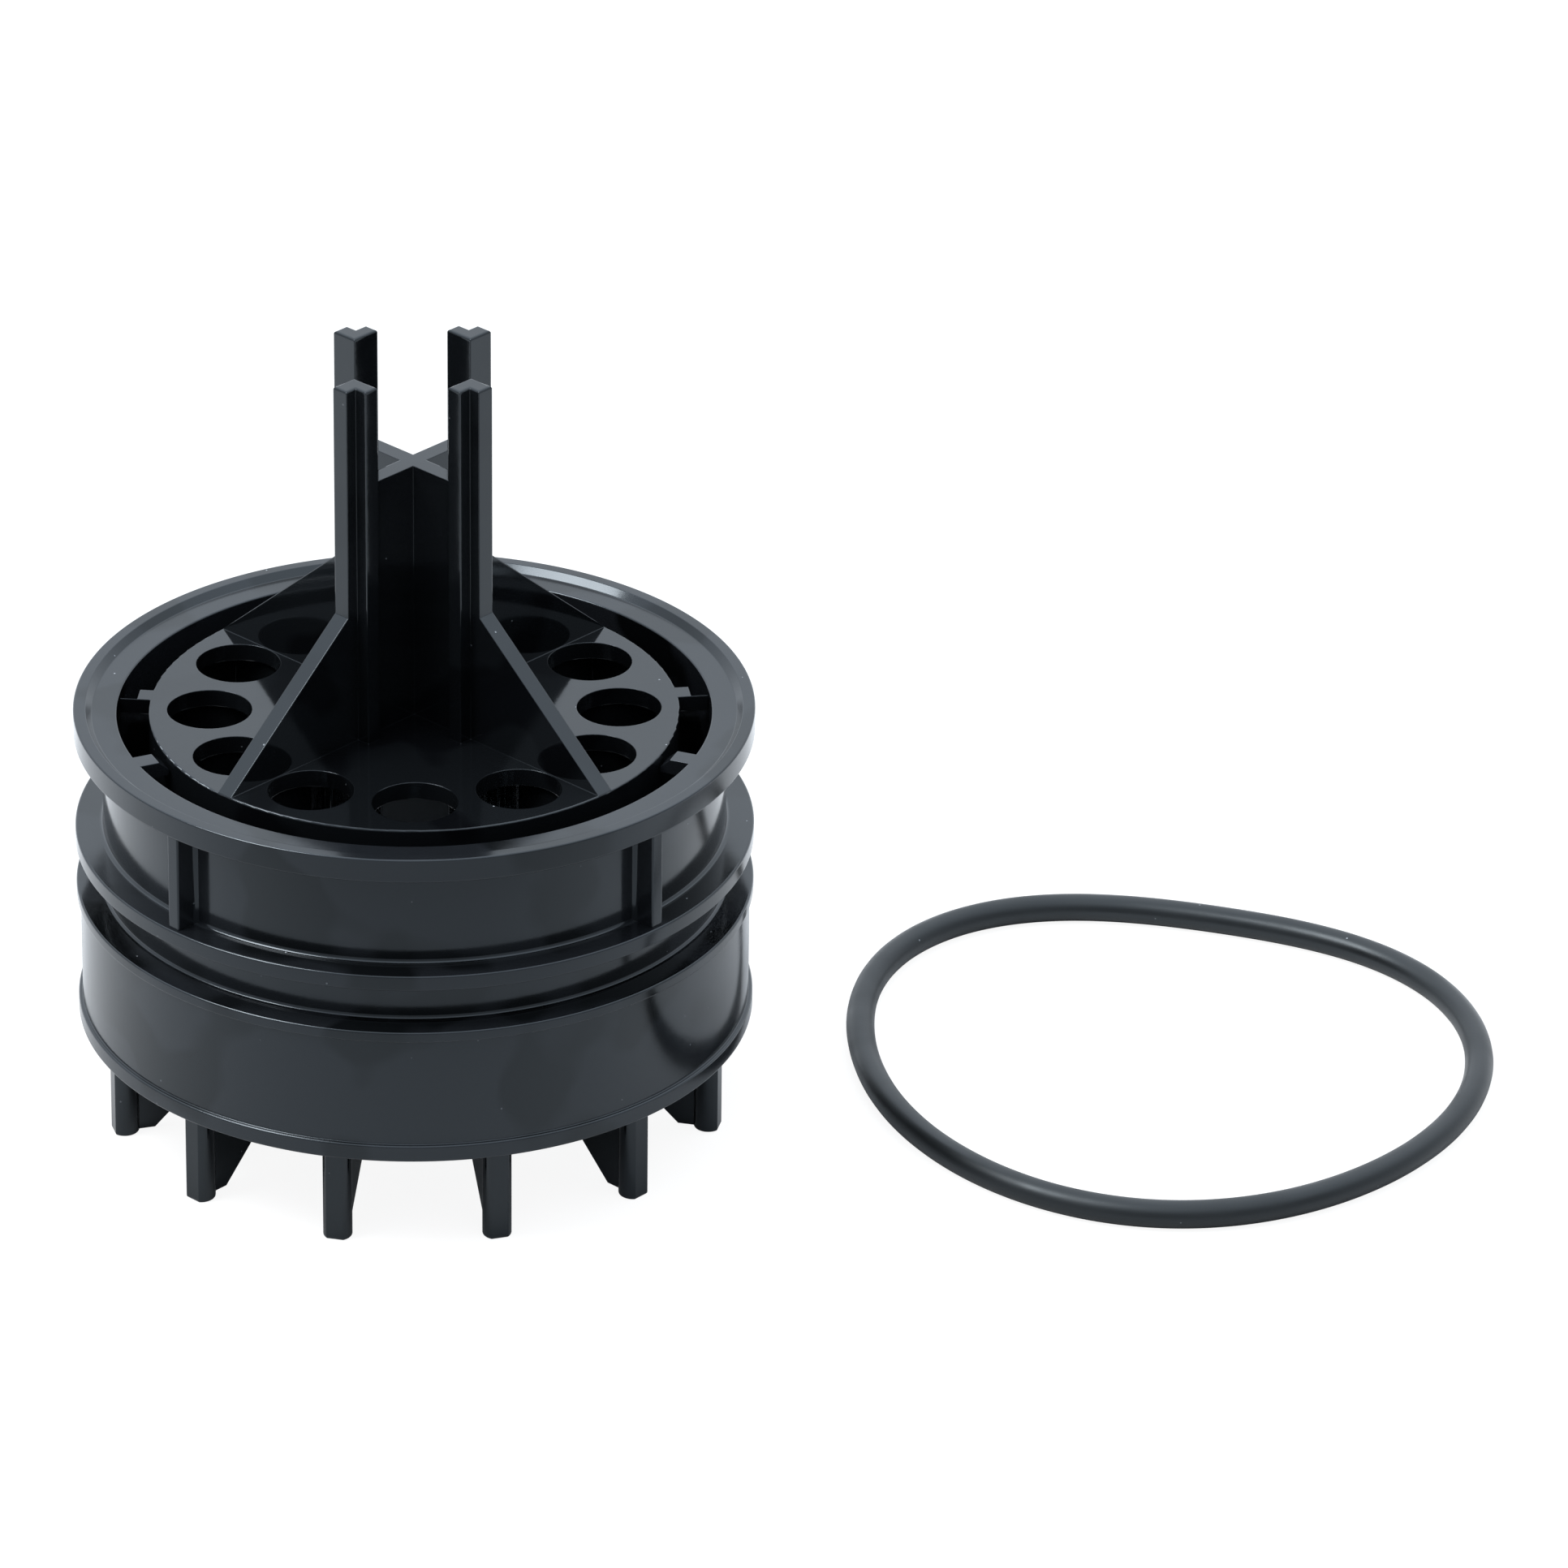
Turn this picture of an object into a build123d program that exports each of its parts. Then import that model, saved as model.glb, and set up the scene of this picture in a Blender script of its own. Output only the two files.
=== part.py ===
from build123d import *
from math import cos, radians, sin, tan
import os

# A flow insert for a round housing: a flanged outer collar with a seal groove, a perforated core with
# a cross-shaped stem and twelve legs that the collar drops over, and the loose seal ring laid beside it.
# Millimetres. The origin is on the axis, level with the top of the rim. +Z is up, along the stem.

# ---- collar: radii
RIM_RADIUS = 42.0            # top flange, middle flange, skirt bead and skirt lip
TUBE_WALL = 1.9
SKIRT_SET_IN = 0.5           # how far the skirt wall lies inside the rim radius
SKIRT_WALL = 2.0

# ---- collar: heights, counted down from the rim
RIM_STEP = 0.85              # the raised rim stands this far above the flat ring inside it
RIM_WIDTH = 1.5              # flat top of the raised rim
RIM_BEVEL = 0.8              # width of the slope from the rim down to the flat ring
FLANGE_THICKNESS = 3.1
BAY_HEIGHT = 12.7            # open bay between the top flange and the middle flange
MIDDLE_FLANGE_THICKNESS = 2.0
BEAD_HEIGHT = 1.4
SKIRT_HEIGHT = 14.3          # skirt wall between bead and lip
LIP_HEIGHT = 2.2
SHOULDER_THICKNESS = 2.0     # roof between the seal groove and the inside of the skirt
CORNER_FILLET = 0.5
EDGE_ROUND = 0.2

# ---- collar: upright ribs in the bay, and tabs over the annular gap
BAY_RIB_THICKNESS = 1.8
BAY_RIB_SET_IN = 0.5
BAY_RIB_ANGLES = (45, 135, 225, 315)
TAB_WIDTH = 2.6
TAB_THICKNESS = 2.0
TAB_FLAT_SHARE = 0.6         # part of the gap that a tab covers level with the top, before it slopes off
TAB_DROP = 1.2
COLLAR_TAB_ANGLES = (202.5, 337.5)
CORE_TAB_ANGLES = (7, 173)

# ---- core: perforated disc
GAP_WIDTH = 3.9              # open ring between the disc and the collar
DISC_THICKNESS = 2.2
DISC_WALL = 1.8
DISC_WALL_HEIGHT = 5.0
HOLE_COUNT = 12
HOLE_DIAMETER = 10.5
HOLE_CENTRE_INSET = 7.5      # from the edge of the disc to the middle of a hole

# ---- core: cross stem
FIN_THICKNESS = 2.25
FIN_ANGLES = (45, 135, 225, 315)
FIN_FOOT_INSET = 0.1         # the foot of a fin stops this far inside the edge of the disc
STEM_RADIUS = 12.4
GUSSET_HEIGHT = 17.1         # where the sloping fin meets the upright stem, above the disc
WEB_HEIGHT = 33.85           # top of the cross web, above the disc
PRONG_HEIGHT = 13.65         # prongs above the cross web
PRONG_DEPTH = 3.55
PRONG_KEY_THICKNESS = 2.0
PRONG_KEY_REACH = 2.85       # how far the key stands out from the middle of the fin
PRONG_ROUND = 0.35

# ---- core: legs and their webs
LEG_COUNT = 12
LEG_DIAMETER = 3.6
LEG_FLAT_DEPTH = 0.35        # how much of the round is cut away by the flat outer face
LEG_END_ROUND = 0.35
LEG_BELOW_LIP = 13.2
WEB_THICKNESS = 1.3
WEB_TOE_LENGTH = 1.9         # level underside of a web, inward from its leg
WEB_TOE_RISE = 0.3           # height of that underside above the end of the leg
WEB_INNER_RADIUS = 18.5
WEB_SLOPE = 45.0
WEB_TOP_DEPTH = 16.0         # top of a web in the annular gap, below the rim

# ---- fits
SLIDE_CLEARANCE = 0.15       # webs of the core in the collar, on the radius
LEG_CLEARANCE = 0.45         # flat faces of the legs in the skirt, on the radius
TAB_CLEARANCE = 0.25
CORD_SIDE_ROOM = 2.17        # width that the groove has beyond the cord of the ring
CORD_PROUD = 0.03            # how far the cord stands out past the rims when it lies in the groove
OVERLAP = 0.4                # how deep joined features run into each other

# ---- seal ring
CORD_DIAMETER = 3.53
RING_STRETCH = 0.021         # how much the ring stretches when it is on the groove floor
RING_GAP = 12.7              # free space between the rim and a perfectly round ring
RING_BACK_SHIFT = 5.0
# slack outline of the ring as it lies: lobes, height of the lobes, direction of the first lobe
RING_LOBES = ((2, 1.5, -54), (3, 1.6, 14), (4, 0.4, 32), (5, 0.2, -23))
RING_OUTLINE_POINTS = 30

# ---- places worked out from the sizes above
TUBE_RADIUS = RIM_RADIUS - CORD_DIAMETER + CORD_PROUD    # wall between the flanges, and groove floor
BORE_RADIUS = TUBE_RADIUS - TUBE_WALL
SKIRT_RADIUS = RIM_RADIUS - SKIRT_SET_IN
SKIRT_BORE_RADIUS = SKIRT_RADIUS - SKIRT_WALL
DISC_RADIUS = BORE_RADIUS - GAP_WIDTH
HOLE_CIRCLE_RADIUS = DISC_RADIUS - HOLE_CENTRE_INSET
LEG_FACE_RADIUS = SKIRT_BORE_RADIUS - LEG_CLEARANCE
LEG_MIDDLE_RADIUS = LEG_FACE_RADIUS + LEG_FLAT_DEPTH - LEG_DIAMETER / 2
CREST_RADIUS = RIM_RADIUS - RIM_WIDTH

SEAT_Z = -RIM_STEP
FLANGE_Z = -FLANGE_THICKNESS
MIDDLE_TOP_Z = FLANGE_Z - BAY_HEIGHT
MIDDLE_Z = MIDDLE_TOP_Z - MIDDLE_FLANGE_THICKNESS
LEDGE_Z = MIDDLE_Z - CORD_DIAMETER - CORD_SIDE_ROOM
BEAD_Z = LEDGE_Z - BEAD_HEIGHT
LIP_TOP_Z = BEAD_Z - SKIRT_HEIGHT
LIP_Z = LIP_TOP_Z - LIP_HEIGHT
SHOULDER_Z = LEDGE_Z - SHOULDER_THICKNESS
FLOOR_Z = LIP_Z - LEG_BELOW_LIP
DISC_Z = SEAT_Z - DISC_THICKNESS
PRONG_Z = SEAT_Z + WEB_HEIGHT + PRONG_HEIGHT

SAME = 1e-4                  # two lengths this close are taken as the same


def face_from(points):
    """Closed face in the upright plane, from (radius, height) points."""
    return Plane.XZ * make_face(Polyline(*points, close=True))


def plate(points, thickness, azimuth):
    """Flat upright plate along a radius, drawn in (radius, height) and centred on that radius."""
    return Rot(0, 0, azimuth) * extrude(face_from(points), amount=thickness / 2, both=True)


def bar(r_low, r_high, t_low, t_high, z_low, z_high, azimuth):
    """Block given by its reach along the radius, across it, and in height."""
    block = Box(r_high - r_low, t_high - t_low, z_high - z_low, align=(Align.MIN, Align.MIN, Align.MIN))
    return Rot(0, 0, azimuth) * Pos(r_low, t_low, z_low) * block


def round_edges(solid, radius, circle_radius, z):
    """Fillet the full circles of one radius at one height."""
    edges = solid.edges().filter_by(GeomType.CIRCLE)
    chosen = [e for e in edges if abs(e.radius - circle_radius) < SAME and abs(e.center().Z - z) < SAME]
    return fillet(chosen, radius)


def collar_shell():
    outline = [
        (BORE_RADIUS, SEAT_Z),
        (CREST_RADIUS - RIM_BEVEL, SEAT_Z),
        (CREST_RADIUS, 0),
        (RIM_RADIUS, 0),
        (RIM_RADIUS, FLANGE_Z),
        (TUBE_RADIUS, FLANGE_Z),
        (TUBE_RADIUS, MIDDLE_TOP_Z),
        (RIM_RADIUS, MIDDLE_TOP_Z),
        (RIM_RADIUS, MIDDLE_Z),
        (TUBE_RADIUS, MIDDLE_Z),
        (TUBE_RADIUS, LEDGE_Z),
        (RIM_RADIUS, LEDGE_Z),
        (RIM_RADIUS, BEAD_Z),
        (SKIRT_RADIUS, BEAD_Z),
        (SKIRT_RADIUS, LIP_TOP_Z),
        (RIM_RADIUS, LIP_TOP_Z),
        (RIM_RADIUS, LIP_Z),
        (SKIRT_BORE_RADIUS, LIP_Z),
        (SKIRT_BORE_RADIUS, SHOULDER_Z),
        (BORE_RADIUS, SHOULDER_Z),
    ]
    shell = revolve(face_from(outline), Axis.Z)
    for z in (FLANGE_Z, MIDDLE_TOP_Z, MIDDLE_Z, LEDGE_Z):
        shell = round_edges(shell, CORNER_FILLET, TUBE_RADIUS, z)
    for z in (0, FLANGE_Z, MIDDLE_TOP_Z, MIDDLE_Z, LEDGE_Z, LIP_Z):
        shell = round_edges(shell, EDGE_ROUND, RIM_RADIUS, z)
    return shell


def collar_tab(azimuth):
    """Tab of the collar that reaches over the annular gap: level at the collar, sloping down to the disc."""
    flat_end = BORE_RADIUS - GAP_WIDTH * TAB_FLAT_SHARE
    tip = DISC_RADIUS + TAB_CLEARANCE
    outline = [
        (BORE_RADIUS + OVERLAP, SEAT_Z),
        (flat_end, SEAT_Z),
        (tip, SEAT_Z - TAB_DROP),
        (tip, SEAT_Z - TAB_THICKNESS),
        (BORE_RADIUS + OVERLAP, SEAT_Z - TAB_THICKNESS),
    ]
    return plate(outline, TAB_WIDTH, azimuth)


def seal_collar():
    solid = collar_shell()
    for azimuth in BAY_RIB_ANGLES:
        solid += bar(TUBE_RADIUS - OVERLAP, RIM_RADIUS - BAY_RIB_SET_IN,
                     -BAY_RIB_THICKNESS / 2, BAY_RIB_THICKNESS / 2,
                     MIDDLE_TOP_Z - OVERLAP, FLANGE_Z + OVERLAP, azimuth)
    for azimuth in COLLAR_TAB_ANGLES:
        solid += collar_tab(azimuth)
    return solid


def perforated_disc():
    disc = Pos(0, 0, DISC_Z) * Cylinder(
        DISC_RADIUS, DISC_THICKNESS, align=(Align.CENTER, Align.CENTER, Align.MIN))
    wall_outline = [
        (DISC_RADIUS - DISC_WALL, DISC_Z + OVERLAP),
        (DISC_RADIUS, DISC_Z + OVERLAP),
        (DISC_RADIUS, DISC_Z - DISC_WALL_HEIGHT),
        (DISC_RADIUS - DISC_WALL, DISC_Z - DISC_WALL_HEIGHT),
    ]
    disc += revolve(face_from(wall_outline), Axis.Z)
    return round_edges(disc, EDGE_ROUND, DISC_RADIUS, SEAT_Z)


def flow_holes():
    depth = DISC_THICKNESS + 2 * OVERLAP
    hole = Pos(HOLE_CIRCLE_RADIUS, 0, DISC_Z - OVERLAP) * Cylinder(
        HOLE_DIAMETER / 2, depth, align=(Align.CENTER, Align.CENTER, Align.MIN))
    return [Rot(0, 0, i * 360 / HOLE_COUNT) * hole for i in range(HOLE_COUNT)]


def stem_fin(azimuth, key_side):
    """One arm of the cross: sloping foot, upright web, prong, and the key along one side of the prong."""
    prong_inner = STEM_RADIUS - PRONG_DEPTH
    outline = [
        (0, SEAT_Z - OVERLAP),
        (DISC_RADIUS - FIN_FOOT_INSET, SEAT_Z - OVERLAP),
        (DISC_RADIUS - FIN_FOOT_INSET, SEAT_Z),
        (STEM_RADIUS, SEAT_Z + GUSSET_HEIGHT),
        (STEM_RADIUS, PRONG_Z),
        (prong_inner, PRONG_Z),
        (prong_inner, SEAT_Z + WEB_HEIGHT),
        (0, SEAT_Z + WEB_HEIGHT),
    ]
    fin = plate(outline, FIN_THICKNESS, 0)
    key = bar(prong_inner, prong_inner + PRONG_KEY_THICKNESS, 0, PRONG_KEY_REACH,
              SEAT_Z - OVERLAP, PRONG_Z, 0)
    if key_side < 0:
        key = mirror(key, about=Plane.XZ)
    arm = fin + key
    top_edges = [e for e in arm.edges() if abs(e.bounding_box().min.Z - PRONG_Z) < SAME]
    arm = fillet(top_edges, PRONG_ROUND)
    return Rot(0, 0, azimuth) * arm


def core_tab(azimuth):
    """Tab of the disc that reaches out to the collar: level at the disc, its outer half ramped sideways."""
    flat_end = DISC_RADIUS + GAP_WIDTH * (1 - TAB_FLAT_SHARE)
    tip = BORE_RADIUS - TAB_CLEARANCE
    tab = bar(DISC_RADIUS - OVERLAP, tip, -TAB_WIDTH / 2, TAB_WIDTH / 2, SEAT_Z - TAB_THICKNESS, SEAT_Z, 0)
    ramp = Plane.YZ * make_face(Polyline(
        (-TAB_WIDTH / 2, SEAT_Z), (TAB_WIDTH / 2, SEAT_Z - TAB_DROP),
        (TAB_WIDTH / 2 + OVERLAP, SEAT_Z + OVERLAP), close=True))
    cut = Pos(flat_end, 0, 0) * extrude(ramp, amount=tip + OVERLAP - flat_end)
    if azimuth > 90:
        cut = mirror(cut, about=Plane.XZ)
    return Rot(0, 0, azimuth) * (tab - cut)


def leg_web(azimuth):
    """Radial web under the disc, with its sloping underside. It runs on into the middle of its leg."""
    outer = BORE_RADIUS - SLIDE_CLEARANCE
    toe_inner = LEG_MIDDLE_RADIUS - LEG_DIAMETER / 2 - WEB_TOE_LENGTH
    toe_z = FLOOR_Z + WEB_TOE_RISE
    slope_rise = (toe_inner - WEB_INNER_RADIUS) * tan(radians(WEB_SLOPE))
    outline = [
        (WEB_INNER_RADIUS, DISC_Z + OVERLAP),
        (DISC_RADIUS - DISC_WALL / 2, DISC_Z + OVERLAP),
        (DISC_RADIUS - DISC_WALL / 2, -WEB_TOP_DEPTH),
        (outer, -WEB_TOP_DEPTH),
        (outer, SHOULDER_Z),
        (LEG_MIDDLE_RADIUS, SHOULDER_Z),
        (LEG_MIDDLE_RADIUS, toe_z),
        (toe_inner, toe_z),
        (WEB_INNER_RADIUS, toe_z + slope_rise),
    ]
    return plate(outline, WEB_THICKNESS, azimuth)


def leg(azimuth):
    """Round pin under the shoulder of the collar, its outer side cut flat and the edge of its end rounded."""
    half = LEG_DIAMETER / 2
    pin = Pos(LEG_MIDDLE_RADIUS, 0, FLOOR_Z) * Cylinder(
        half, SHOULDER_Z - FLOOR_Z, align=(Align.CENTER, Align.CENTER, Align.MIN))
    pin -= bar(LEG_FACE_RADIUS, LEG_MIDDLE_RADIUS + LEG_DIAMETER, -half, half, FLOOR_Z, SHOULDER_Z, 0)
    end_edges = [e for e in pin.edges() if abs(e.bounding_box().max.Z - FLOOR_Z) < SAME]
    return Rot(0, 0, azimuth) * fillet(end_edges, LEG_END_ROUND)


def flow_core():
    solid = perforated_disc()
    for azimuth in CORE_TAB_ANGLES:
        solid += core_tab(azimuth)
    for i in range(LEG_COUNT):
        azimuth = (i + 0.5) * 360 / LEG_COUNT
        solid += leg_web(azimuth)
        solid += leg(azimuth)
    for hole in flow_holes():
        solid -= hole
    for azimuth, key_side in zip(FIN_ANGLES, (1, -1, 1, -1)):
        solid += stem_fin(azimuth, key_side)
    return solid


def seal_ring():
    """Round cord bent into the slack, slightly egg-shaped loop in which the ring lies."""
    bore_radius = TUBE_RADIUS / (1 + RING_STRETCH)
    mean_radius = bore_radius + CORD_DIAMETER / 2
    centre_x = RIM_RADIUS + RING_GAP + mean_radius
    centre_z = FLOOR_Z + CORD_DIAMETER / 2
    points = []
    for i in range(RING_OUTLINE_POINTS):
        angle = radians(i * 360 / RING_OUTLINE_POINTS)
        r = mean_radius
        for lobes, height, direction in RING_LOBES:
            r += height * cos(lobes * (angle - radians(direction)))
        points.append((centre_x + r * cos(angle), RING_BACK_SHIFT + r * sin(angle), centre_z))
    path = Spline(*points, periodic=True)
    section = Plane(origin=path @ 0, z_dir=path % 0) * Circle(CORD_DIAMETER / 2)
    return sweep(section, path=path)


def main():
    os.makedirs("parts", exist_ok=True)
    nodes = {
        "seal_collar": seal_collar(),
        "flow_core": flow_core(),
        "seal_ring": seal_ring(),
    }
    for name, solid in nodes.items():
        export_step(solid, f"parts/{name}.step")


main()
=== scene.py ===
"""A perforated flow insert and its loose seal ring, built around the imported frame.

The collar and the ring are made again as finely rounded meshes in the place of their CAD solids. The core is
the CAD solid itself, with its edges softened by its finish. Lengths in the constants are millimetres, and MM
turns them to metres.
"""
import bmesh
import bpy
from math import acos, cos, pi, radians, sin, tan
from mathutils import Matrix, Vector


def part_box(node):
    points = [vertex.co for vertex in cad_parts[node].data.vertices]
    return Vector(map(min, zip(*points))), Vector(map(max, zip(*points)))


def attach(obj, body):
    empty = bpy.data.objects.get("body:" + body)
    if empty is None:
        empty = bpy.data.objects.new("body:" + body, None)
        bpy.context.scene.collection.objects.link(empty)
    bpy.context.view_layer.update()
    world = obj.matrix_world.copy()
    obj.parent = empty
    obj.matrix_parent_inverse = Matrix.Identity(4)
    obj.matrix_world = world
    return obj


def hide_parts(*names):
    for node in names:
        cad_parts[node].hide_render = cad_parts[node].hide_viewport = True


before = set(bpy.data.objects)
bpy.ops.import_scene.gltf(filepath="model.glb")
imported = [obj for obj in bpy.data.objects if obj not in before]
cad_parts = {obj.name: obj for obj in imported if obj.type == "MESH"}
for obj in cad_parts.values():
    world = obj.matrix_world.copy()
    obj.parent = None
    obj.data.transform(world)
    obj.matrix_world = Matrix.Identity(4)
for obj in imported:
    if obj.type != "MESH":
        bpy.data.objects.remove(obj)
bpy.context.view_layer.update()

MM = 0.001
TURN = 2 * pi


def in_mm(node):
    """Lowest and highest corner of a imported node, in millimetres."""
    low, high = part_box(node)
    return low / MM, high / MM


COLLAR_LOW, COLLAR_HIGH = in_mm("seal_collar")
FLOOR_Z = in_mm("flow_core")[0].z
RING_LOW, RING_HIGH = in_mm("seal_ring")

# ---- collar
RIM_RADIUS = 42.0
TUBE_RADIUS = 38.5
BORE_RADIUS = 36.6
SKIRT_RADIUS = 41.5
SKIRT_BORE_RADIUS = 39.5
RIM_CREST_RADIUS = 40.5
RIM_BEVEL = 0.8
RIM_Z = COLLAR_HIGH.z
RIM_RISE = 0.85              # the raised rim above the flat ring inside it
TOP_FLANGE_HEIGHT = 3.1
BAY_HEIGHT = 12.7
MIDDLE_FLANGE_HEIGHT = 2.0
GROOVE_HEIGHT = 5.7
BEAD_HEIGHT = 1.4
LIP_HEIGHT = 2.2
SHOULDER_DROP = 2.0          # the shoulder inside the skirt below the groove's ledge
SEAT_Z = RIM_Z - RIM_RISE
FLANGE_Z = RIM_Z - TOP_FLANGE_HEIGHT
MIDDLE_TOP_Z = FLANGE_Z - BAY_HEIGHT
MIDDLE_Z = MIDDLE_TOP_Z - MIDDLE_FLANGE_HEIGHT
LEDGE_Z = MIDDLE_Z - GROOVE_HEIGHT
BEAD_Z = LEDGE_Z - BEAD_HEIGHT
LIP_Z = COLLAR_LOW.z
LIP_TOP_Z = LIP_Z + LIP_HEIGHT
SHOULDER_Z = LEDGE_Z - SHOULDER_DROP
BAY_RIB_COUNT = 4
BAY_RIB_FIRST_ANGLE = 45
BAY_RIB_THICKNESS = 1.8
BAY_RIB_RADIUS = 41.5
BAY_RIB_FLARE = 0.5
BAY_RIB_ROOT = 0.8           # how far a rib reaches into the wall
BAY_RIB_FLARE_DEPTH = 0.1    # where its flare starts, inside the wall
BAY_RIB_OVERLAP = 0.5        # how far its ends reach into the flanges

# ---- tabs over the annular gap between the collar and the core's disc
DISC_RADIUS = 32.7
TAB_WIDTH = 2.6
TAB_THICKNESS = 2.0
TAB_FLAT_SHARE = 0.6
TAB_DROP = 1.2
TAB_CLEARANCE = 0.25
TAB_SUNK = 0.003             # the top of a tab lies this far below the flat ring
TAB_ROOT = 0.6               # how far a tab reaches into the collar's wall
COLLAR_TAB_ANGLES = (202.5, 337.5)

# ---- seal ring
CORD_RADIUS = (RING_HIGH.z - RING_LOW.z) / 2
RING_MEAN_RADIUS = 39.47
RING_CENTRE = Vector((94.17, 5.0, FLOOR_Z + CORD_RADIUS))
RING_LOBES = ((2, 1.5, -54), (3, 1.6, 14), (4, 0.4, 32), (5, 0.2, -23))


# ======================================================================== mesh making

def rounded(corners, steps=4):
    """Outline through (x, y, radius) corners, each turned into an arc of that radius."""
    points = []
    for i, (x, y, radius) in enumerate(corners):
        here = Vector((x, y))
        before = Vector(corners[i - 1][:2]) - here
        after = Vector(corners[(i + 1) % len(corners)][:2]) - here
        if radius <= 0:
            points.append(here)
            continue
        before.normalize()
        after.normalize()
        half = acos(max(-1, min(1, before.dot(after)))) / 2
        centre = here + (before + after).normalized() * (radius / sin(half))
        start = here + before * (radius / tan(half)) - centre
        end = here + after * (radius / tan(half)) - centre
        sweep = pi - 2 * half
        for k in range(steps + 1):
            a = sweep * k / steps
            points.append(centre + (start * sin(sweep - a) + end * sin(a)) / sin(sweep))
    return points


def new_object(name, mesh_data):
    """Object that holds what a bmesh holds, with its outside facing out."""
    bmesh.ops.remove_doubles(mesh_data, verts=mesh_data.verts, dist=0.002 * MM)
    bmesh.ops.recalc_face_normals(mesh_data, faces=mesh_data.faces)
    mesh = bpy.data.meshes.new(name)
    mesh_data.to_mesh(mesh)
    mesh_data.free()
    obj = bpy.data.objects.new(name, mesh)
    bpy.context.scene.collection.objects.link(obj)
    return obj


def lathe(name, outline, segments=240):
    """Ring-shaped solid of revolution from a closed (radius, height) outline that stays off the axis."""
    made = bmesh.new()
    rings = []
    for r, z in outline:
        ring = []
        for k in range(segments):
            a = TURN * k / segments
            ring.append(made.verts.new((r * cos(a) * MM, r * sin(a) * MM, z * MM)))
        rings.append(ring)
    for ring, following in zip(rings, rings[1:] + rings[:1]):
        for k in range(segments):
            n = (k + 1) % segments
            made.faces.new((ring[k], ring[n], following[n], following[k]))
    return new_object(name, made)


def slab(name, outline, low, high, upright=True, edge=0.0):
    """Flat solid: an outline given thickness from low to high, its long edges rounded by edge.

    Upright, the outline is (radius, height) and the thickness runs across the radius. Lying, it is
    (x, y) and the thickness runs up."""
    made = bmesh.new()

    def place(a, b, c):
        return (a * MM, c * MM, b * MM) if upright else (a * MM, b * MM, c * MM)

    face = made.faces.new([made.verts.new(place(x, y, low)) for x, y in outline])
    grown = bmesh.ops.extrude_face_region(made, geom=[face])
    shift = Vector(place(0, 0, high)) - Vector(place(0, 0, low))
    far_side = [v for v in grown["geom"] if isinstance(v, bmesh.types.BMVert)]
    bmesh.ops.translate(made, verts=far_side, vec=shift)
    if edge:
        caps = [f for f in made.faces if len(f.verts) == len(outline)]
        rims = {e for f in caps for e in f.edges}
        bmesh.ops.bevel(made, geom=list(rims), offset=edge * MM, segments=3, profile=0.5,
                        affect="EDGES", clamp_overlap=True)
    return new_object(name, made)


def evaluated(obj):
    """The object with its modifiers made real, so that none is left on it."""
    graph = bpy.context.evaluated_depsgraph_get()
    mesh = bpy.data.meshes.new_from_object(obj.evaluated_get(graph))
    mesh.name = obj.name
    obj.modifiers.clear()
    obj.data = mesh
    return obj


def joined(name, objects):
    """One object that holds the meshes of several."""
    made = bmesh.new()
    for obj in objects:
        made.from_mesh(obj.data)
        bpy.data.objects.remove(obj)
    return new_object(name, made)


def fused(obj, other):
    """obj with another solid grown onto it."""
    step = obj.modifiers.new("solid", "BOOLEAN")
    step.operation = "UNION"
    step.solver = "EXACT"
    step.use_self = True
    step.object = other
    evaluated(obj)
    bpy.data.objects.remove(other)
    return obj


def add_node(tree, kind, settings=None, numbered=None, **named):
    """Adds a node, sets its properties, and fills or links its inputs, by number or by name."""
    node = tree.nodes.new(kind)
    for key, value in (settings or {}).items():
        setattr(node, key, value)
    for key, value in list((numbered or {}).items()) + [(k.replace("_", " "), v) for k, v in named.items()]:
        if isinstance(value, bpy.types.NodeSocket):
            tree.links.new(value, node.inputs[key])
        else:
            node.inputs[key].default_value = value
    return node


def copies_tree():
    """Geometry Nodes tree: one solid repeated about the upright axis, then made real."""
    tree = bpy.data.node_groups.new("Copies about the axis", "GeometryNodeTree")
    sockets = {}
    inputs = (("Item", "NodeSocketObject"), ("Count", "NodeSocketInt"),
              ("First angle", "NodeSocketFloat"), ("Finish", "NodeSocketMaterial"))
    for name, kind in inputs:
        sockets[name] = tree.interface.new_socket(name, in_out="INPUT", socket_type=kind).identifier
    tree.interface.new_socket("Copies", in_out="OUTPUT", socket_type="NodeSocketGeometry")
    group = add_node(tree, "NodeGroupInput")
    item = add_node(tree, "GeometryNodeObjectInfo", {"transform_space": "ORIGINAL"},
                    Object=group.outputs["Item"])
    places = add_node(tree, "GeometryNodePoints", Count=group.outputs["Count"])
    index = add_node(tree, "GeometryNodeInputIndex")
    pitch = add_node(tree, "ShaderNodeMath", {"operation": "DIVIDE"},
                     {0: TURN, 1: group.outputs["Count"]})
    angle = add_node(tree, "ShaderNodeMath", {"operation": "MULTIPLY_ADD"},
                     {0: index.outputs[0], 1: pitch.outputs[0], 2: group.outputs["First angle"]})
    turn = add_node(tree, "ShaderNodeCombineXYZ", Z=angle.outputs[0])
    copies = add_node(tree, "GeometryNodeInstanceOnPoints", Points=places.outputs[0],
                      Instance=item.outputs["Geometry"], Rotation=turn.outputs[0])
    real = add_node(tree, "GeometryNodeRealizeInstances", Geometry=copies.outputs[0])
    finish = add_node(tree, "GeometryNodeSetMaterial", Geometry=real.outputs[0],
                      Material=group.outputs["Finish"])
    add_node(tree, "NodeGroupOutput", Copies=finish.outputs[0])
    return tree, sockets


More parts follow.
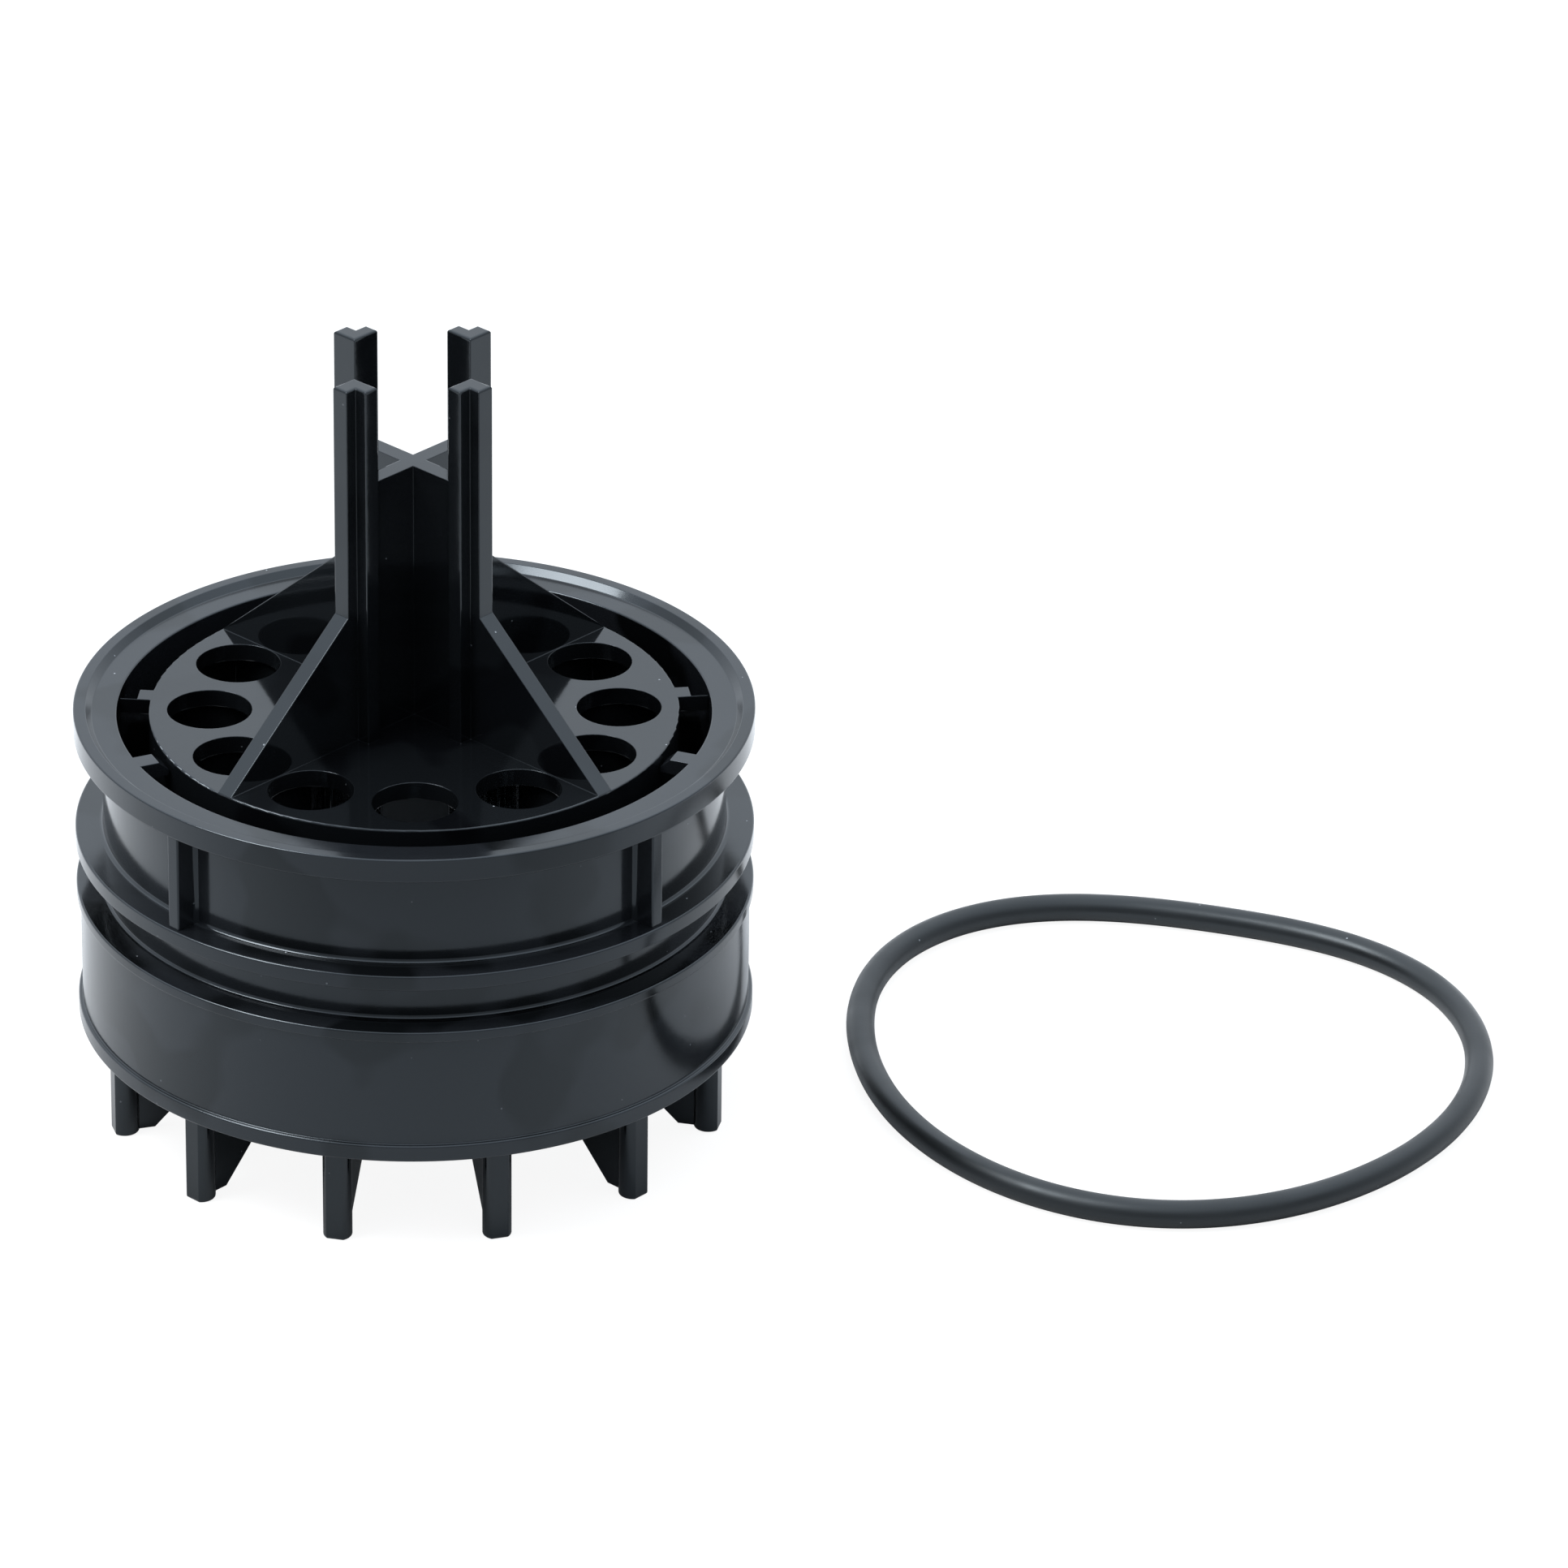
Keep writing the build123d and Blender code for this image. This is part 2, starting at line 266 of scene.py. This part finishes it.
def around_axis(name, item, count, first_degrees, finish=None):
    """The item repeated count times about the axis, as one plain mesh."""
    obj = new_object(name, bmesh.new())
    tree, sockets = COPIES
    step = obj.modifiers.new("copies", "NODES")
    step.node_group = tree
    step[sockets["Item"]] = item
    step[sockets["Count"]] = count
    step[sockets["First angle"]] = radians(first_degrees)
    step[sockets["Finish"]] = finish
    evaluated(obj)
    bpy.data.objects.remove(item)
    return obj


COPIES = copies_tree()


def smooth(obj, finish, crease_degrees=35):
    """Smooth shading that keeps real corners, with flat faces kept flat beside their rounded edges."""
    obj.data.materials.clear()
    obj.data.materials.append(finish)
    for polygon in obj.data.polygons:
        polygon.use_smooth = True
        polygon.material_index = 0
    obj.data.set_sharp_from_angle(angle=radians(crease_degrees))
    weights = obj.modifiers.new("flat faces", "WEIGHTED_NORMAL")
    weights.keep_sharp = True
    weights.weight = 100
    return evaluated(obj)


# ======================================================================== materials

def linear(code):
    """sRGB hex colour as linear RGBA."""
    channels = [int(code[i:i + 2], 16) / 255 for i in (1, 3, 5)]
    return [c / 12.92 if c <= 0.04045 else ((c + 0.055) / 1.055) ** 2.4 for c in channels] + [1]


def new_material(name):
    material = bpy.data.materials.new(name)
    material.use_nodes = True
    tree = material.node_tree
    tree.nodes.clear()
    return material, tree


def dust(tree, place):
    """Mask of sparse dust specks about 0.2 mm across, thicker on faces that look up."""
    cells = add_node(tree, "ShaderNodeTexVoronoi", Vector=place, Scale=1 / (2.6 * MM))
    speck = add_node(tree, "ShaderNodeMath", {"operation": "LESS_THAN"},
                     {0: cells.outputs["Distance"], 1: 0.045})
    tone = add_node(tree, "ShaderNodeSeparateColor", Color=cells.outputs["Color"])
    chosen = add_node(tree, "ShaderNodeMath", {"operation": "GREATER_THAN"}, {0: tone.outputs[0], 1: 0.6})
    facing = add_node(tree, "ShaderNodeSeparateXYZ", None,
                      {0: add_node(tree, "ShaderNodeTexCoord").outputs["Normal"]})
    settled = add_node(tree, "ShaderNodeMapRange", Value=facing.outputs["Z"], From_Min=0.0,
                       From_Max=1.0, To_Min=0.25, To_Max=0.9)
    both = add_node(tree, "ShaderNodeMath", {"operation": "MULTIPLY"},
                    {0: speck.outputs[0], 1: chosen.outputs[0]})
    return add_node(tree, "ShaderNodeMath", {"operation": "MULTIPLY"},
                    {0: both.outputs[0], 1: settled.outputs[0]}).outputs[0]


def dusted(tree, colour, mask):
    """The colour with pale grey dust laid over it where the mask is."""
    mix = add_node(tree, "ShaderNodeMix", {"data_type": "RGBA"}, {0: mask, 6: colour, 7: linear("#8e9398")})
    return mix.outputs[2]


def moulded_black(name, glossiest, dullest, body, stain, soft_edge=0.0):
    """Black ABS from a polished mould: a clear cool gloss over a near-black body, stained by handling.

    soft_edge is the radius to which the finish softens sharp edges, as a mould leaves them."""
    material, tree = new_material(name)
    place = add_node(tree, "ShaderNodeTexCoord").outputs["Object"]
    # melt flow and handling leave soft clouds about 12 mm wide in the gloss
    clouds = add_node(tree, "ShaderNodeTexNoise", Vector=place, Scale=1 / (12 * MM), Detail=3.0,
                      Roughness=0.5)
    gloss = add_node(tree, "ShaderNodeMapRange", Value=clouds.outputs["Fac"], From_Min=0.35,
                     From_Max=0.7, To_Min=glossiest, To_Max=dullest)
    # a few darker stains about 15 mm wide, with soft edges
    stains = add_node(tree, "ShaderNodeTexNoise", Vector=place, Scale=1 / (15 * MM), Detail=1.5)
    stained = add_node(tree, "ShaderNodeMapRange", Value=stains.outputs["Fac"], From_Min=0.53,
                       From_Max=0.58)
    tone = add_node(tree, "ShaderNodeMix", {"data_type": "RGBA"},
                    {0: stained.outputs[0], 6: linear(body), 7: linear(stain)})
    # the mould's polish shows as a ripple about 1.5 mm wide and a few microns deep
    ripple = add_node(tree, "ShaderNodeTexNoise", Vector=place, Scale=1 / (1.5 * MM), Detail=2.0)
    relief = add_node(tree, "ShaderNodeBump", Strength=0.2, Distance=0.02 * MM,
                      Height=ripple.outputs["Fac"])
    if soft_edge:
        softened = add_node(tree, "ShaderNodeBevel", {"samples": 6}, Radius=soft_edge * MM)
        tree.links.new(softened.outputs[0], relief.inputs["Normal"])
    shader = add_node(tree, "ShaderNodeBsdfPrincipled",
                      Base_Color=dusted(tree, tone.outputs[2], dust(tree, place)),
                      Roughness=gloss.outputs[0], IOR=1.53, Specular_Tint=(0.82, 0.92, 1.0, 1),
                      Normal=relief.outputs[0])
    add_node(tree, "ShaderNodeOutputMaterial", Surface=shader.outputs[0])
    return material


def seal_rubber():
    """Moulded nitrile rubber: a satin black skin with fine grain and a little settled dust."""
    material, tree = new_material("Nitrile rubber, moulded")
    place = add_node(tree, "ShaderNodeTexCoord").outputs["Object"]
    grain = add_node(tree, "ShaderNodeTexNoise", Vector=place, Scale=1 / (0.4 * MM), Detail=3.0)
    relief = add_node(tree, "ShaderNodeBump", Strength=0.3, Distance=0.02 * MM,
                      Height=grain.outputs["Fac"])
    # bloom from the rubber dulls it in patches about 8 mm wide
    bloom = add_node(tree, "ShaderNodeTexNoise", Vector=place, Scale=1 / (8 * MM), Detail=2.0)
    satin = add_node(tree, "ShaderNodeMapRange", Value=bloom.outputs["Fac"], From_Min=0.3,
                     From_Max=0.7, To_Min=0.32, To_Max=0.46)
    shader = add_node(tree, "ShaderNodeBsdfPrincipled",
                      Base_Color=dusted(tree, linear("#0c0d0e"), dust(tree, place)),
                      Roughness=satin.outputs[0], IOR=1.5, Specular_Tint=(0.85, 0.94, 1.0, 1),
                      Normal=relief.outputs[0])
    add_node(tree, "ShaderNodeOutputMaterial", Surface=shader.outputs[0])
    return material


# ======================================================================== the collar

def collar_shell():
    outline = rounded([
        (BORE_RADIUS, SEAT_Z, 0.25),
        (RIM_CREST_RADIUS - RIM_BEVEL, SEAT_Z, 0.2),
        (RIM_CREST_RADIUS, RIM_Z, 0.2),
        (RIM_RADIUS, RIM_Z, 0.25),
        (RIM_RADIUS, FLANGE_Z, 0.25),
        (TUBE_RADIUS, FLANGE_Z, 0.5),
        (TUBE_RADIUS, MIDDLE_TOP_Z, 0.6),
        (RIM_RADIUS, MIDDLE_TOP_Z, 0.3),
        (RIM_RADIUS, MIDDLE_Z, 0.2),
        (TUBE_RADIUS, MIDDLE_Z, 0.4),
        (TUBE_RADIUS, LEDGE_Z, 0.6),
        (RIM_RADIUS, LEDGE_Z, 0.3),
        (RIM_RADIUS, BEAD_Z, 0.2),
        (SKIRT_RADIUS, BEAD_Z, 0.15),
        (SKIRT_RADIUS, LIP_TOP_Z, 0.15),
        (RIM_RADIUS, LIP_TOP_Z, 0.3),
        (RIM_RADIUS, LIP_Z, 0.3),
        (SKIRT_BORE_RADIUS, LIP_Z, 0.25),
        (SKIRT_BORE_RADIUS, SHOULDER_Z, 0.5),
        (BORE_RADIUS, SHOULDER_Z, 0.25),
    ])
    return lathe("collar_shell", outline)


def bay_rib():
    """Upright rib in the bay, with a flared root where it grows out of the wall."""
    half = BAY_RIB_THICKNESS / 2
    flare = BAY_RIB_FLARE
    root = TUBE_RADIUS - BAY_RIB_ROOT
    flare_start = TUBE_RADIUS - BAY_RIB_FLARE_DEPTH
    outline = rounded([
        (root, -half - flare, 0),
        (flare_start, -half - flare, 0),
        (flare_start + flare, -half, flare * 0.9),
        (BAY_RIB_RADIUS, -half, 0.25),
        (BAY_RIB_RADIUS, half, 0.25),
        (flare_start + flare, half, flare * 0.9),
        (flare_start, half + flare, 0),
        (root, half + flare, 0),
    ])
    return slab("bay_rib", outline, MIDDLE_TOP_Z - BAY_RIB_OVERLAP, FLANGE_Z + BAY_RIB_OVERLAP,
                upright=False)


def collar_tab(degrees):
    """Tab of the collar that reaches over the gap: level at the collar, sloping off towards the disc."""
    tip = DISC_RADIUS + TAB_CLEARANCE
    outline = rounded([
        (BORE_RADIUS + TAB_ROOT, SEAT_Z - TAB_SUNK, 0),
        (BORE_RADIUS - (BORE_RADIUS - DISC_RADIUS) * TAB_FLAT_SHARE, SEAT_Z - TAB_SUNK, 0.15),
        (tip, SEAT_Z - TAB_DROP, 0.1),
        (tip, SEAT_Z - TAB_THICKNESS, 0.1),
        (BORE_RADIUS + TAB_ROOT, SEAT_Z - TAB_THICKNESS, 0),
    ])
    tab = slab("tab", outline, -TAB_WIDTH / 2, TAB_WIDTH / 2, edge=0.1)
    tab.data.transform(Matrix.Rotation(radians(degrees), 4, "Z"))
    return tab


def make_collar(finish):
    collar = collar_shell()
    fused(collar, around_axis("bay_ribs", bay_rib(), BAY_RIB_COUNT, BAY_RIB_FIRST_ANGLE))
    fused(collar, joined("tabs", [collar_tab(degrees) for degrees in COLLAR_TAB_ANGLES]))
    collar.name = "grooved_collar"
    return smooth(collar, finish)


# ======================================================================== the seal ring

def make_ring(finish, around=288, across=28):
    """Round cord in the slack loop in which the ring lies, with the mould's parting line on it."""
    flash = 0.03

    def middle(angle):
        r = RING_MEAN_RADIUS
        for lobes, height, direction in RING_LOBES:
            r += height * cos(lobes * (angle - radians(direction)))
        return RING_CENTRE + Vector((r * cos(angle), r * sin(angle), 0))

    made = bmesh.new()
    rows = []
    for i in range(around):
        a = TURN * i / around
        ahead = (middle(a + 1e-3) - middle(a - 1e-3)).normalized()
        outwards = Vector((ahead.y, -ahead.x, 0))
        row = []
        for k in range(across):
            b = TURN * k / across
            radius = CORD_RADIUS + (flash if k % (across // 2) == 0 else 0)
            point = middle(a) + outwards * (radius * cos(b)) + Vector((0, 0, radius * sin(b)))
            row.append(made.verts.new(point * MM))
        rows.append(row)
    for row, following in zip(rows, rows[1:] + rows[:1]):
        for k in range(across):
            n = (k + 1) % across
            made.faces.new((row[k], row[n], following[n], following[k]))
    ring = new_object("loose_seal_ring", made)
    return smooth(ring, finish)


# ======================================================================== studio

def make_camera():
    """Long lens well back from the object, a little above it."""
    distance = 1.3
    elevation = 26.868
    roll, pan, tilt = -0.310, -2.006, -0.445
    data = bpy.data.cameras.new("camera")
    data.lens = 242.24
    data.sensor_width = 36
    data.clip_start, data.clip_end = 0.05, 20
    camera = bpy.data.objects.new("camera", data)
    bpy.context.scene.collection.objects.link(camera)
    aim = Matrix.Rotation(radians(90 - elevation), 4, "X")
    aim = aim @ Matrix.Rotation(radians(roll), 4, "Z") @ Matrix.Rotation(radians(pan), 4, "Y")
    aim = aim @ Matrix.Rotation(radians(tilt), 4, "X")
    stand = Vector((0, -distance * cos(radians(elevation)), distance * sin(radians(elevation)) + RIM_Z * MM))
    camera.matrix_world = Matrix.Translation(stand) @ aim
    bpy.context.scene.camera = camera


def make_floor():
    made = bmesh.new()
    reach = 3.0
    corners = [(-reach, -reach), (reach, -reach), (reach, reach), (-reach, reach)]
    made.faces.new([made.verts.new((x, y, FLOOR_Z * MM)) for x, y in corners])
    floor = new_object("floor", made)
    material, tree = new_material("White paper sweep, lit from below")
    # towards the front the paper's colour is darkened as painted shade, so it gives less back to the
    # object's front walls
    place = add_node(tree, "ShaderNodeTexCoord").outputs["Object"]
    across = add_node(tree, "ShaderNodeSeparateXYZ", None, {0: place})
    shade = add_node(tree, "ShaderNodeMapRange", Value=across.outputs["Y"], From_Min=-0.12,
                     From_Max=0.12, To_Min=0.34, To_Max=0.86)
    # painted shade: the paper seen in reflections is darker in front and lighter behind
    paper = add_node(tree, "ShaderNodeBsdfDiffuse", Color=shade.outputs[0])
    glow = add_node(tree, "ShaderNodeEmission", Strength=0.9)
    faint = add_node(tree, "ShaderNodeBsdfDiffuse", Color=(0.15, 0.15, 0.15, 1))
    seen = add_node(tree, "ShaderNodeAddShader", None, {0: glow.outputs[0], 1: faint.outputs[0]})
    path = add_node(tree, "ShaderNodeLightPath")
    surface = add_node(tree, "ShaderNodeMixShader", None,
                       {0: path.outputs["Is Camera Ray"], 1: paper.outputs[0], 2: seen.outputs[0]})
    add_node(tree, "ShaderNodeOutputMaterial", Surface=surface.outputs[0])
    floor.data.materials.append(material)


def area_light(name, place, target, size, power):
    data = bpy.data.lights.new(name, "AREA")
    data.shape = "RECTANGLE"
    data.size, data.size_y = size
    data.energy = power
    light = bpy.data.objects.new(name, data)
    bpy.context.scene.collection.objects.link(light)
    light.location = place
    light.rotation_mode = "QUATERNION"
    light.rotation_quaternion = (Vector(target) - Vector(place)).to_track_quat("-Z", "Y")


def make_studio():
    """White room, brighter at the back, with one softbox up to the left for the edges to catch."""
    world = bpy.data.worlds.new("White room")
    bpy.context.scene.world = world
    world.use_nodes = True
    tree = world.node_tree
    tree.nodes.clear()
    direction = add_node(tree, "ShaderNodeSeparateXYZ", None,
                         {0: add_node(tree, "ShaderNodeTexCoord").outputs["Generated"]})
    depth = add_node(tree, "ShaderNodeMapRange", Value=direction.outputs["Y"], From_Min=-0.9,
                     From_Max=0.9, To_Min=0.5, To_Max=1.3)
    ceiling = add_node(tree, "ShaderNodeMapRange", Value=direction.outputs["Z"], From_Min=0.48,
                       From_Max=0.8, To_Min=0.0, To_Max=1.0)
    light = add_node(tree, "ShaderNodeMath", {"operation": "ADD"},
                     {0: depth.outputs[0], 1: ceiling.outputs[0]})
    room = add_node(tree, "ShaderNodeBackground", Color=(0.90, 0.97, 1.05, 1), Strength=light.outputs[0])
    seen = add_node(tree, "ShaderNodeBackground", Color=(1, 1, 1, 1), Strength=1.0)
    path = add_node(tree, "ShaderNodeLightPath")
    both = add_node(tree, "ShaderNodeMixShader", None,
                    {0: path.outputs["Is Camera Ray"], 1: room.outputs[0], 2: seen.outputs[0]})
    add_node(tree, "ShaderNodeOutputWorld", Surface=both.outputs[0])
    area_light("softbox", (-0.7, -0.2, 1.0), (0.05, 0, 0), (0.55, 0.55), 12)
    bpy.context.scene.view_settings.view_transform = "Standard"


# ======================================================================== putting it together

make_camera()
make_floor()
make_studio()

COLLAR_BLACK = moulded_black("Injection-moulded ABS, black, semi-gloss", 0.12, 0.2, "#16181b", "#050607")
CORE_BLACK = moulded_black("Injection-moulded ABS, black, polished", 0.06, 0.12, "#0d0f11", "#07080a",
                           soft_edge=0.18)
RUBBER = seal_rubber()

for piece, body, node, slot in (
    (make_collar(COLLAR_BLACK), "collar", "seal_collar", "moulded_black"),
    (make_ring(RUBBER), "ring", "seal_ring", "seal_rubber"),
):
    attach(piece, body)
    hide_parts(node)

core_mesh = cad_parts["flow_core"].data
for index in range(len(core_mesh.materials)):
    core_mesh.materials[index] = CORE_BLACK
